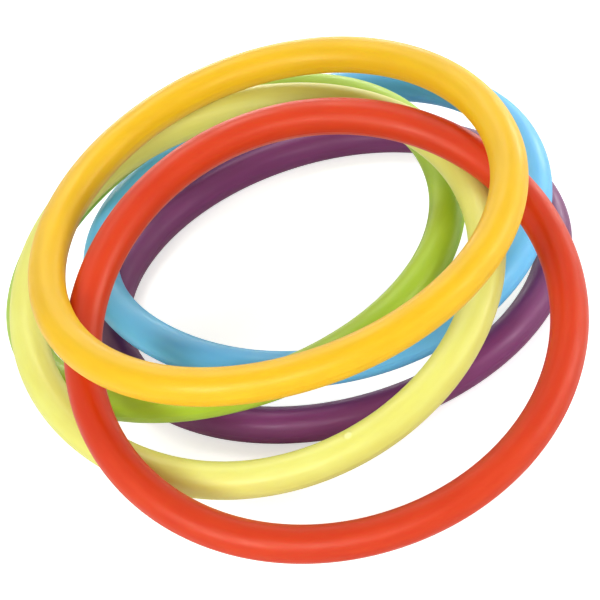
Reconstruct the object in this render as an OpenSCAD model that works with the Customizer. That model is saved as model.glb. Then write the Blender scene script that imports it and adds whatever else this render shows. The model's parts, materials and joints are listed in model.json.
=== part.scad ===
// Ring toss set: six one-piece round rings of soft rubber, dropped in a loose pile.
// The purple ring lies flat on the ground. Each ring after it lands on the rings before it,
// so its place across the ground and its lean are chosen and its height is worked out.
// Origin: the purple ring's centre, at ground level. +X right, +Y away, +Z up.

/* [Rings] */
// Outer diameter of every ring, mm
ring_od = 170; // [130:1:210]
// Thickness of the round rubber section, mm
tube_d = 12.5; // [9:0.5:16]

/* [Pile] */
// Smallest gap left between a ring and the rings under it, mm
rest_gap = 0.3; // [0.2:0.1:2]

/* [Blue ring] */
// Centre, to the right of the purple ring's centre, mm
blue_x = -5; // [-20:1:20]
// Centre, away beyond the purple ring's centre, mm
blue_y = 11; // [-5:1:30]
// Lean from flat, degrees
blue_lean = 1.5; // [0:0.5:12]
// Side that leans down, degrees round from +X
blue_low_side = 170; // [-180:5:180]

/* [Green ring] */
// Centre, to the right of the purple ring's centre, mm
green_x = -25; // [-45:1:10]
// Centre, away beyond the purple ring's centre, mm
green_y = -15; // [-30:1:10]
// Lean from flat, degrees
green_lean = 6; // [0:0.5:15]
// Side that leans down, degrees round from +X
green_low_side = -140; // [-180:5:180]

/* [Yellow ring] */
// Centre, to the right of the purple ring's centre, mm
yellow_x = -5; // [-30:1:20]
// Centre, away beyond the purple ring's centre, mm
yellow_y = -47; // [-60:1:-10]
// Lean from flat, degrees
yellow_lean = 15; // [0:0.5:20]
// Side that leans down, degrees round from +X
yellow_low_side = -80; // [-180:5:180]

/* [Red ring] */
// Centre, to the right of the purple ring's centre, mm
red_x = 27; // [0:1:45]
// Centre, away beyond the purple ring's centre, mm
red_y = -72; // [-85:1:-40]
// Lean from flat, degrees
red_lean = 24; // [0:0.5:28]
// Side that leans down, degrees round from +X
red_low_side = -60; // [-180:5:180]

/* [Orange ring] */
// Centre, to the right of the purple ring's centre, mm
orange_x = 8; // [-20:1:30]
// Centre, away beyond the purple ring's centre, mm
orange_y = -47; // [-65:1:-20]
// Lean from flat, degrees
orange_lean = 5; // [0:0.5:15]
// Side that leans down, degrees round from +X
orange_low_side = -100; // [-180:5:180]

/* [Hidden] */
$fn = 96;

// Radius of the circle that runs along the middle of the rubber
mid_r = (ring_od - tube_d) / 2;
// Closest that the middle lines of two stacked rings may come
reach = tube_d + rest_gap;
// Steps round a ring when its rest height is worked out
steps = 180;
step_angle = 360 / steps;

// A placed ring is [centre, lean, low side]
purple_at = [[0, 0, tube_d / 2], 0, 0];
blue_at = laid_on([purple_at], blue_x, blue_y, blue_lean, blue_low_side);
green_at = laid_on([purple_at, blue_at], green_x, green_y, green_lean, green_low_side);
yellow_at = laid_on([purple_at, blue_at, green_at],
                    yellow_x, yellow_y, yellow_lean, yellow_low_side);
red_at = laid_on([purple_at, blue_at, green_at, yellow_at],
                 red_x, red_y, red_lean, red_low_side);
orange_at = laid_on([purple_at, blue_at, green_at, yellow_at, red_at],
                    orange_x, orange_y, orange_lean, orange_low_side);

// Point at an angle round a placed ring's middle line, counted from its low side
function mid_point(at, angle) =
    let (down = mid_r * cos(angle), across = mid_r * sin(angle), lean = at[1], low = at[2])
    at[0] + [
        down * cos(lean) * cos(low) - across * sin(low),
        down * cos(lean) * sin(low) + across * cos(low),
        -down * sin(lean),
    ];

// All the sample points along a placed ring's middle line
function mid_line(at) = [for (i = [0:steps - 1]) mid_point(at, i * step_angle)];

// Height over the ground plane at which a round tube centred above p clears one centred at q
function clear_z(p, q) =
    let (apart = norm([p.x - q.x, p.y - q.y]))
    apart < reach ? q.z + sqrt(reach * reach - apart * apart) : tube_d / 2;

// A ring let down at x, y with its lean kept, until it meets a ring under it or the ground
function laid_on(under, x, y, lean, low_side) =
    let (
        line = mid_line([[x, y, 0], lean, low_side]),
        below = [for (at = under) each mid_line(at)],
        height = max([for (p = line) max([for (q = below) clear_z(p, q)]) - p.z])
    )
    [[x, y, height], lean, low_side];

// One solid ring of round section in the place given
module placed_ring(at) {
    translate(at[0])
        rotate([0, 0, at[2]])
            rotate([0, at[1], 0])
                rotate_extrude()
                    translate([mid_r, 0])
                        circle(d = tube_d);
}

// Lowest ring, flat on the ground
module purple_ring() {
    color([0.5, 0.29, 0.44])
        placed_ring(purple_at);
}

// Second ring, almost flat on the purple one
module blue_ring() {
    color([0.35, 0.68, 0.87])
        placed_ring(blue_at);
}

// Third ring, pushed to the left
module green_ring() {
    color([0.67, 0.77, 0.2])
        placed_ring(green_at);
}

// Fourth ring, tipped towards the front
module yellow_ring() {
    color([0.96, 0.92, 0.43])
        placed_ring(yellow_at);
}

// Fifth ring, slid off the front right of the pile
module red_ring() {
    color([0.87, 0.28, 0.18])
        placed_ring(red_at);
}

// Top ring
module orange_ring() {
    color([0.96, 0.79, 0.25])
        placed_ring(orange_at);
}

purple_ring();
blue_ring();
green_ring();
yellow_ring();
red_ring();
orange_ring();
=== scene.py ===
"""Six soft moulded toss rings in a loose pile, in a plain pale studio.

Each ring is a smooth swept tube that stands for its CAD ring. Its place, lean and size come from the
frame. It adds what the moulding leaves on a real one: a faint parting line round the inside and the
outside, and a small gate mark. All sizes are in metres.
"""
import json
import math

import bpy
import numpy as np
from mathutils import Matrix, Vector


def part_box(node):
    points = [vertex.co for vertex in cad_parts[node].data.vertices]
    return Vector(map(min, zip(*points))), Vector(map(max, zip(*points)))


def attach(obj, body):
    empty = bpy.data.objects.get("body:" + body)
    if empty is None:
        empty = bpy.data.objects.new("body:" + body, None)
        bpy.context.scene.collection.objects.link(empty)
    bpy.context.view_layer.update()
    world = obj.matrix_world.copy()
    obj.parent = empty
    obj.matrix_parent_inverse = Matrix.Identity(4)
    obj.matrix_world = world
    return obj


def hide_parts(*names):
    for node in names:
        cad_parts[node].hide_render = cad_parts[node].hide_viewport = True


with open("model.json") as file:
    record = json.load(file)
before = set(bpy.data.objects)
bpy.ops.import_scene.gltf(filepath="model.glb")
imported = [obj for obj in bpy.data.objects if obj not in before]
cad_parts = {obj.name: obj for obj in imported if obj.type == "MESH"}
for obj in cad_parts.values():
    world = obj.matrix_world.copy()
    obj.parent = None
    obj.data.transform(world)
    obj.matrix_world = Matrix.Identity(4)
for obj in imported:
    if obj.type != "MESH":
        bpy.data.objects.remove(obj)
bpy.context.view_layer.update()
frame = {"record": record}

MM = 0.001

# ---------------------------------------------------------------- what the frame says

# All the rings are the same size, and the purple one lies flat, so its box gives that size
low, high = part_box("purple_ring")
TUBE_R = (high[2] - low[2]) / 2
RING_R = (high[0] - low[0]) / 2
MID_R = RING_R - TUBE_R
MOUNTS = {mount["name"]: mount for mount in frame["record"]["mounts"]}


def placed(colour):
    """Matrix from a ring's own frame, flat and round its origin, to where the CAD ring lies."""
    mount = MOUNTS[colour + "_hole"]
    axis = Vector(mount["axis"]).normalized()
    side = Vector((1, 0, 0))
    side = (side - axis * side.dot(axis)).normalized()
    turn = Matrix((side, axis.cross(side), axis)).transposed().to_4x4()
    return Matrix.Translation(mount["pos_m"]) @ turn


# ---------------------------------------------------------------- ring shapes

STEPS_ROUND_RING = 360
STEPS_ROUND_TUBE = 72
# How strongly the steps round the tube crowd to its inner and outer edge: 0 is even, under 0.5
EDGE_CROWDING = 0.35
# A short turn in radians, over which the direction of the tube is taken
SHORT_TURN = 0.001

PARTING_RISE = 0.06 * MM
PARTING_HALF_WIDTH = 0.35 * MM

GATE_R = 1.4 * MM
GATE_RISE = 0.25 * MM
# A higher power makes the mark flatter on top and steeper at its edge
GATE_POWER = 6
# Fine steps cross the mark, out to this many times its radius
GATE_STEPS = 19
GATE_STEPS_REACH = 1.6

# Radius of the much tighter ring on which streaks are laid out, so that they run along the tube
FLOW_MID_R = 12 * MM

# Where each ring's gate mark is: degrees round the ring from its right-hand side, and degrees round
# the tube from its outer edge over the top. Only the yellow ring lies with its mark up.
GATE = {
    "purple": (60, 215),
    "blue": (200, 268),
    "green": (330, 264),
    "yellow": (307, 96),
    "red": (140, 265),
    "orange": (20, 267),
}

# How each soft ring is bent out of true where it lies. Amounts are in millimetres. A direction is in
# degrees round the ring from its right-hand side. Size is added to the radius, oval and lobes bend
# the outline two and three times round, and warp lifts it two times round.
BENT = {
    "purple": {"size": 0.1, "oval": (0.3, 90), "lobes": (0.2, -40), "warp": (0.0, 0)},
    "blue": {"size": 0.4, "oval": (2.4, -46), "lobes": (1.4, -57), "warp": (1.5, 59)},
    "green": {"size": -0.9, "oval": (1.2, -78), "lobes": (1.8, -27), "warp": (1.4, -43)},
    "yellow": {"size": -0.1, "oval": (1.0, -16), "lobes": (0.7, -56), "warp": (1.7, -22)},
    "red": {"size": 0.3, "oval": (0.9, 39), "lobes": (0.4, -15), "warp": (1.2, -47)},
    "orange": {"size": -0.3, "oval": (0.6, 64), "lobes": (0.7, 3), "warp": (1.0, 75)},
}


def waves(times, amount_and_direction, angle):
    """A wave that goes a number of times round the ring, with a crest at the direction."""
    amount, direction = amount_and_direction
    return amount * MM * np.cos(times * (angle - math.radians(direction)))


def centre_line(bent, angle):
    """Points along the middle of the tube, in the ring's own frame."""
    r = MID_R + bent["size"] * MM + waves(2, bent["oval"], angle) + waves(3, bent["lobes"], angle)
    lift = waves(2, bent["warp"], angle)
    return np.stack([r * np.cos(angle), r * np.sin(angle), lift], axis=-1)


def with_steps_across_gate(angle, gate_angle, radius):
    """The angles, and finer ones across the gate mark on a circle of that radius."""
    across = np.linspace(-GATE_STEPS_REACH, GATE_STEPS_REACH, GATE_STEPS) * GATE_R
    return np.unique(np.append(angle, gate_angle + across / radius))


def unit(vectors):
    return vectors / np.linalg.norm(vectors, axis=-1, keepdims=True)


def closed_grid_faces(rows, columns):
    """Four-sided faces of a grid of points that closes on itself both ways."""
    index = np.arange(rows * columns).reshape(rows, columns)
    next_row = np.roll(index, -1, axis=0)
    next_column = np.roll(index, -1, axis=1)
    next_both = np.roll(next_row, -1, axis=1)
    return np.stack([index, next_row, next_both, next_column], axis=-1).reshape(-1, 4)


def ring_mesh(name, bent, gate):
    """A tube swept along the bent ring, with a low ridge where the two mould halves met and a low
    round scar where the rubber was let in."""
    gate_ring, gate_tube = np.radians(gate)
    ring_angle = np.linspace(0, 2 * math.pi, STEPS_ROUND_RING, endpoint=False)
    ring_angle = with_steps_across_gate(ring_angle, gate_ring, MID_R)
    tube_angle = np.linspace(0, 2 * math.pi, STEPS_ROUND_TUBE, endpoint=False)
    tube_angle = tube_angle - EDGE_CROWDING * np.sin(2 * tube_angle)
    tube_angle = with_steps_across_gate(tube_angle, gate_tube, TUBE_R)

    # How far the skin stands from the middle of the tube, row by row round the ring
    from_parting = TUBE_R * np.sin(tube_angle)
    ridge = np.exp(-(from_parting / PARTING_HALF_WIDTH) ** 2)
    from_gate = np.hypot((ring_angle - gate_ring)[:, None] * MID_R,
                         (tube_angle - gate_tube)[None, :] * TUBE_R)
    mark = np.exp(-(from_gate / GATE_R) ** GATE_POWER)
    r = TUBE_R + PARTING_RISE * ridge + GATE_RISE * mark
    out = r * np.cos(tube_angle)
    up = r * np.sin(tube_angle)

    middle = centre_line(bent, ring_angle)
    ahead = centre_line(bent, ring_angle + SHORT_TURN) - centre_line(bent, ring_angle - SHORT_TURN)
    outward = unit(np.cross(ahead, (0, 0, 1)))
    upward = unit(np.cross(outward, ahead))
    points = middle[:, None] + out[:, :, None] * outward[:, None] + up[:, :, None] * upward[:, None]

    mesh = bpy.data.meshes.new(name)
    mesh.from_pydata(points.reshape(-1, 3).tolist(), [], closed_grid_faces(*r.shape).tolist())
    mesh.polygons.foreach_set("use_smooth", [True] * len(mesh.polygons))
    tight = FLOW_MID_R + out
    flow = np.stack([tight * np.cos(ring_angle)[:, None], tight * np.sin(ring_angle)[:, None], up],
                    axis=-1)
    mesh.attributes.new("flow", "FLOAT_VECTOR", "POINT").data.foreach_set("vector", flow.ravel())
    mesh.attributes.new("mark", "FLOAT", "POINT").data.foreach_set("value", mark.ravel())
    mesh.update()
    return mesh


# ---------------------------------------------------------------- rubber

# Pale and deep shade of each colour of rubber, as display colours
RUBBER = {
    "purple": ((118, 50, 102), (106, 42, 90)),
    "blue": ((104, 184, 228), (94, 176, 222)),
    "green": ((162, 192, 50), (154, 184, 40)),
    "yellow": ((214, 216, 116), (210, 208, 104)),
    "red": ((198, 54, 9), (190, 46, 6)),
    "orange": ((223, 178, 20), (215, 170, 14)),
}

# The shade drifts slowly between pale and deep, with weaker streaks along the tube added to it
DRIFT_SCALE = 28
STREAK_SCALE = 420
STREAK_SHARE = 0.6
PIGMENT_DETAIL = 3
SHADE_DEEP_AT = 0.6
SHADE_PALE_AT = 1.0

# A paler spot at the gate mark: how much whiter than the pale shade, and how much of it shows
GATE_SPOT_WHITER = 0.3
GATE_SPOT_COVER = 0.8

# Patchy sheen from handling. A higher raggedness gives the patches rougher edges.
PATCH_SCALE = 300
PATCH_DETAIL = 4
PATCH_RAGGEDNESS = 0.6
PATCH_LOW_AT = 0.3
PATCH_HIGH_AT = 0.7
ROUGHNESS_LOW = 0.32
ROUGHNESS_HIGH = 0.56
RUBBER_IOR = 1.6
SHEEN_WHITER = 0.65

# Light spreads furthest in the pigment's own colour, so shaded sides stay rich instead of grey
SCATTER_WEIGHT = 0.4
SCATTER_REACH = 3 * MM

# Unevenness of the skin, coarsest first: slow waves, shallow streaks and the fine grain of the mould
SKIN = [
    {"along": "place", "scale": 120, "detail": 2, "strength": 0.4, "height": 0.15 * MM},
    {"along": "flow", "scale": 700, "detail": 3, "strength": 0.6, "height": 0.07 * MM},
    {"along": "place", "scale": 3500, "detail": 2, "strength": 0.25, "height": 0.03 * MM},
]

# Sockets of a mix node that blends colours. It has other sockets with the same names.
MIX_SHARE = 0
MIX_FIRST = 6
MIX_SECOND = 7
MIX_RESULT = 2


class Nodes:
    """Short calls for building a material's node tree."""

    def __init__(self, name):
        self.material = bpy.data.materials.new(name)
        self.material.use_nodes = True
        self.tree = self.material.node_tree
        self.shader = self.tree.nodes["Principled BSDF"]

    def add(self, kind, **settings):
        """A new node. A setting whose name starts with in_ sets that input, others set the node."""
        node = self.tree.nodes.new(kind)
        for key, value in settings.items():
            if key.startswith("in_"):
                node.inputs[key.removeprefix("in_")].default_value = value
            else:
                setattr(node, key, value)
        return node

    def link(self, out_socket, in_socket):
        self.tree.links.new(out_socket, in_socket)

    def attribute(self, name, output):
        return self.add("ShaderNodeAttribute", attribute_name=name).outputs[output]

    def noise(self, coordinates, scale, detail, raggedness=0.5):
        node = self.add("ShaderNodeTexNoise", in_Scale=scale, in_Detail=detail, in_Roughness=raggedness)
        self.link(coordinates, node.inputs["Vector"])
        return node.outputs["Fac"]

    def spread(self, value, from_low, from_high, to_low, to_high):
        """Maps one range to another, held at its ends."""
        node = self.add("ShaderNodeMapRange", clamp=True)
        self.link(value, node.inputs["Value"])
        for key, number in zip(("From Min", "From Max", "To Min", "To Max"),
                               (from_low, from_high, to_low, to_high)):
            node.inputs[key].default_value = number
        return node.outputs["Result"]


def linear(colour):
    """A display colour, 0 to 255, as the linear colour that a shader takes."""
    shares = [part / 255 for part in colour]
    return [s / 12.92 if s < 0.04045 else ((s + 0.055) / 1.055) ** 2.4 for s in shares] + [1]


def whiter(colour, share):
    """A display colour, moved that share of the way to white."""
    return [part + share * (255 - part) for part in colour]


def paint_pigment(n, along, pale, deep):
    """Two shades of the pigment, with a paler spot at the gate mark."""
    drift = n.noise(along["place"], DRIFT_SCALE, PIGMENT_DETAIL)
    streaks = n.noise(along["flow"], STREAK_SCALE, PIGMENT_DETAIL)
    shade = n.add("ShaderNodeMath", operation="MULTIPLY_ADD")
    n.link(streaks, shade.inputs[0])
    shade.inputs[1].default_value = STREAK_SHARE
    n.link(drift, shade.inputs[2])
    tone = n.add("ShaderNodeMix", data_type="RGBA")
    n.link(n.spread(shade.outputs[0], SHADE_DEEP_AT, SHADE_PALE_AT, 0, 1), tone.inputs[MIX_SHARE])
    tone.inputs[MIX_FIRST].default_value = linear(deep)
    tone.inputs[MIX_SECOND].default_value = linear(pale)
    # The colour turns paler towards the middle of the gate mark
    gate_spot = n.add("ShaderNodeMix", data_type="RGBA")
    n.link(n.spread(n.attribute("mark", "Fac"), 0, 1, 0, GATE_SPOT_COVER), gate_spot.inputs[MIX_SHARE])
    n.link(tone.outputs[MIX_RESULT], gate_spot.inputs[MIX_FIRST])
    gate_spot.inputs[MIX_SECOND].default_value = linear(whiter(pale, GATE_SPOT_WHITER))
    n.link(gate_spot.outputs[MIX_RESULT], n.shader.inputs["Base Color"])


def shape_skin(n, along):
    """Bumps for the layers of unevenness, each laid on the one before."""
    normal = None
    for layer in SKIN:
        bump = n.add("ShaderNodeBump", in_Strength=layer["strength"], in_Distance=layer["height"])
        n.link(n.noise(along[layer["along"]], layer["scale"], layer["detail"]), bump.inputs["Height"])
        if normal:
            n.link(normal, bump.inputs["Normal"])
        normal = bump.outputs["Normal"]
    n.link(normal, n.shader.inputs["Normal"])


def rubber(name, pale, deep):
    """Satin soft rubber: slightly mottled colour, an uneven sheen and a very fine grain."""
    n = Nodes(name)
    along = {"place": n.add("ShaderNodeTexCoord").outputs["Object"],
             "flow": n.attribute("flow", "Vector")}
    paint_pigment(n, along, pale, deep)
    shape_skin(n, along)
    patches = n.noise(along["flow"], PATCH_SCALE, PATCH_DETAIL, PATCH_RAGGEDNESS)
    n.link(n.spread(patches, PATCH_LOW_AT, PATCH_HIGH_AT, ROUGHNESS_LOW, ROUGHNESS_HIGH),
           n.shader.inputs["Roughness"])
    n.shader.inputs["IOR"].default_value = RUBBER_IOR
    n.shader.inputs["Specular Tint"].default_value = linear(whiter(pale, SHEEN_WHITER))
    n.shader.inputs["Subsurface Weight"].default_value = SCATTER_WEIGHT
    n.shader.inputs["Subsurface Radius"].default_value = linear(pale)[:3]
    n.shader.inputs["Subsurface Scale"].default_value = SCATTER_REACH
    return n.material


def make_ring(colour):
    name = colour + "_ring"
    mesh = ring_mesh(name, BENT[colour], GATE[colour])
    mesh.transform(placed(colour))
    mesh.materials.append(rubber(colour + "_rubber", *RUBBER[colour]))
    ring = bpy.data.objects.new(colour + "_rubber_ring", mesh)
    bpy.context.collection.objects.link(ring)
    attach(ring, name)
    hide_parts(name)


# ---------------------------------------------------------------- camera

LOOK_AT = Vector((5.0, -39.8, 27.8)) * MM
CAMERA_AZIMUTH = math.radians(-26.5)
CAMERA_ELEVATION = math.radians(37.0)
CAMERA_ROLL = math.radians(16.2)
CAMERA_DISTANCE = 1214 * MM
CAMERA_NEAR = 50 * MM
LENS_MM = 216.4
SENSOR_MM = 36


def direction(azimuth, elevation):
    """Unit vector from the pile towards something seen at that azimuth and elevation."""
    flat = math.cos(elevation)
    return Vector((-math.sin(azimuth) * flat, -math.cos(azimuth) * flat, math.sin(elevation)))


def make_camera():
    data = bpy.data.cameras.new("camera")
    data.sensor_width = SENSOR_MM
    data.lens = LENS_MM
    data.clip_start = CAMERA_NEAR
    camera = bpy.data.objects.new("camera", data)
    bpy.context.collection.objects.link(camera)
    away = direction(CAMERA_AZIMUTH, CAMERA_ELEVATION)
    camera.location = LOOK_AT + away * CAMERA_DISTANCE
    aim = away.to_track_quat("Z", "Y").to_matrix().to_4x4()
    roll = Matrix.Rotation(-CAMERA_ROLL, 4, "Z")
    camera.rotation_euler = (aim @ roll).to_euler()
    bpy.context.scene.camera = camera


# ---------------------------------------------------------------- floor and light

FLOOR_HALF = 3.0
FLOOR_GREY = 0.85
FLOOR_ROUGHNESS = 0.9
# What only the camera sees on top of the lit floor, to bring it up to white
FLOOR_GLOW = 0.55
LAMP_DISTANCE = 1.5


def make_floor():
    mesh = bpy.data.meshes.new("floor")
    corners = [(-FLOOR_HALF, -FLOOR_HALF, 0), (FLOOR_HALF, -FLOOR_HALF, 0),
               (FLOOR_HALF, FLOOR_HALF, 0), (-FLOOR_HALF, FLOOR_HALF, 0)]
    mesh.from_pydata(corners, [], [(0, 1, 2, 3)])
    floor = bpy.data.objects.new("floor", mesh)
    bpy.context.collection.objects.link(floor)
    n = Nodes("pale_floor")
    n.shader.inputs["Base Color"].default_value = (FLOOR_GREY, FLOOR_GREY, FLOOR_GREY, 1)
    n.shader.inputs["Roughness"].default_value = FLOOR_ROUGHNESS
    path = n.add("ShaderNodeLightPath")
    strength = n.add("ShaderNodeMath", operation="MULTIPLY")
    n.link(path.outputs["Is Camera Ray"], strength.inputs[0])
    strength.inputs[1].default_value = FLOOR_GLOW
    glow = n.add("ShaderNodeEmission")
    n.link(strength.outputs[0], glow.inputs["Strength"])
    both = n.add("ShaderNodeAddShader")
    n.link(n.shader.outputs[0], both.inputs[0])
    n.link(glow.outputs[0], both.inputs[1])
    n.link(both.outputs[0], n.tree.nodes["Material Output"].inputs["Surface"])
    mesh.materials.append(n.material)


def make_lamp(name, azimuth, elevation, width, height, power):
    """A soft box that faces the pile. Its azimuth is in degrees from the camera, towards the left.
    Its width and height are in metres, and its power is in watts."""
    data = bpy.data.lights.new(name, "AREA")
    data.shape = "RECTANGLE"
    data.size = width
    data.size_y = height
    data.energy = power
    lamp = bpy.data.objects.new(name, data)
    bpy.context.collection.objects.link(lamp)
    away = direction(math.radians(azimuth) + CAMERA_AZIMUTH, math.radians(elevation))
    lamp.location = LOOK_AT + away * LAMP_DISTANCE
    lamp.rotation_euler = away.to_track_quat("Z", "Y").to_euler()


def make_world(light, seen):
    """White surroundings: one strength lights the pile, the other is what the camera and sheen see."""
    world = bpy.data.worlds.new("studio")
    bpy.context.scene.world = world
    world.use_nodes = True
    tree = world.node_tree
    path = tree.nodes.new("ShaderNodeLightPath")
    either = tree.nodes.new("ShaderNodeMath")
    either.operation = "MAXIMUM"
    tree.links.new(path.outputs["Is Camera Ray"], either.inputs[0])
    tree.links.new(path.outputs["Is Glossy Ray"], either.inputs[1])
    strength = tree.nodes.new("ShaderNodeMapRange")
    tree.links.new(either.outputs[0], strength.inputs["Value"])
    strength.inputs["To Min"].default_value = light
    strength.inputs["To Max"].default_value = seen
    tree.links.new(strength.outputs["Result"], tree.nodes["Background"].inputs["Strength"])
    tree.nodes["Background"].inputs["Color"].default_value = (1, 1, 1, 1)


# ---------------------------------------------------------------- the scene

for ring_colour in RUBBER:
    make_ring(ring_colour)
make_camera()
make_floor()
make_world(light=0.45, seen=1)
make_lamp("key_softbox", azimuth=42, elevation=25, width=0.5, height=0.45, power=11.5)
make_lamp("front_softbox", azimuth=8, elevation=28, width=0.5, height=0.45, power=7)
make_lamp("right_softbox", azimuth=-78, elevation=18, width=0.9, height=0.6, power=11)
make_lamp("rear_right_card", azimuth=-135, elevation=9, width=0.9, height=0.4, power=6)
make_lamp("rear_card", azimuth=180, elevation=9, width=0.9, height=0.4, power=5)
make_lamp("rear_softbox", azimuth=180, elevation=60, width=0.9, height=0.7, power=8)
bpy.context.scene.view_settings.view_transform = "Standard"
